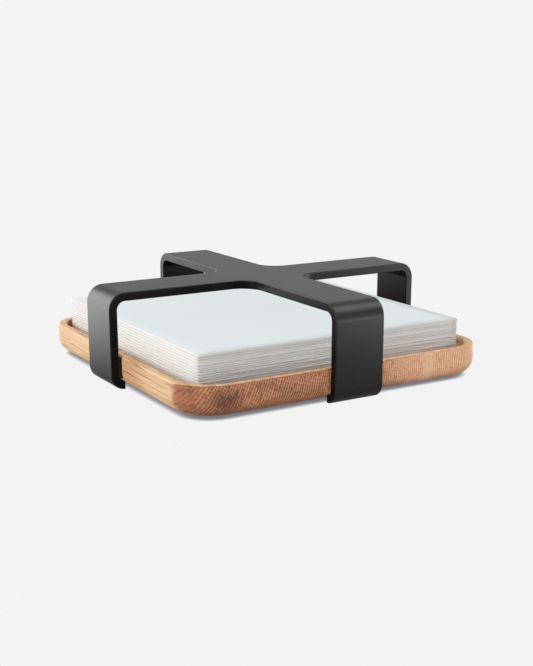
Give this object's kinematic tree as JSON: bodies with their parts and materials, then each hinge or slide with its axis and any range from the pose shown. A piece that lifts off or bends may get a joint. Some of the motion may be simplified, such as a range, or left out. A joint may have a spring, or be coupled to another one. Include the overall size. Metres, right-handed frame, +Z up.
{
  "type": "napkin dispenser",
  "caption": "Square oak tray holding a stack of folded paper napkins, with a black cross-shaped metal frame that clips over the tray and keeps the stack in place.",
  "frame": {"origin": "on the table, under the centre of the tray", "axes": "+Z up; the frame's two strips run along X and Y; the tray's wood fibres run along Y"},
  "size_m": [0.2024, 0.2024, 0.053],
  "materials": {
    "oak": "oiled oak",
    "foot_silicone": "matt black silicone",
    "black_coat": "satin black powder coat on steel",
    "pad_silicone": "matt black silicone",
    "napkin_tissue": "white paper tissue"
  },
  "bodies": {
    "tray": {"tray": "oak", "foot_front_left": "foot_silicone", "foot_front_right": "foot_silicone", "foot_rear_right": "foot_silicone", "foot_rear_left": "foot_silicone"},
    "frame": {"cross_frame": "black_coat", "grip_pad_rear": "pad_silicone", "grip_pad_left": "pad_silicone", "grip_pad_front": "pad_silicone", "grip_pad_right": "pad_silicone"},
    "napkin_stack": {"napkin_01": "napkin_tissue", "napkin_02": "napkin_tissue", "napkin_03": "napkin_tissue", "napkin_04": "napkin_tissue", "napkin_05": "napkin_tissue", "napkin_06": "napkin_tissue", "napkin_07": "napkin_tissue", "napkin_08": "napkin_tissue", "napkin_09": "napkin_tissue", "napkin_10": "napkin_tissue", "napkin_11": "napkin_tissue", "napkin_12": "napkin_tissue", "napkin_13": "napkin_tissue", "napkin_14": "napkin_tissue", "napkin_15": "napkin_tissue"},
    "top_napkin": {"napkin_16": "napkin_tissue"}
  },
  "joints": [
    {"name": "frame_lift", "type": "slide", "parent": "tray", "child": "frame", "axis": [0, 0, 1], "range_m": [0, 0.06]},
    {"name": "stack_lift", "type": "slide", "parent": "tray", "child": "napkin_stack", "axis": [0, 0, 1], "range_m": [0, 0.0145]},
    {"name": "top_napkin_slide", "type": "slide", "parent": "napkin_stack", "child": "top_napkin", "axis": [-0.7071, -0.7071, 0], "range_m": [0, 0.015]}
  ]
}
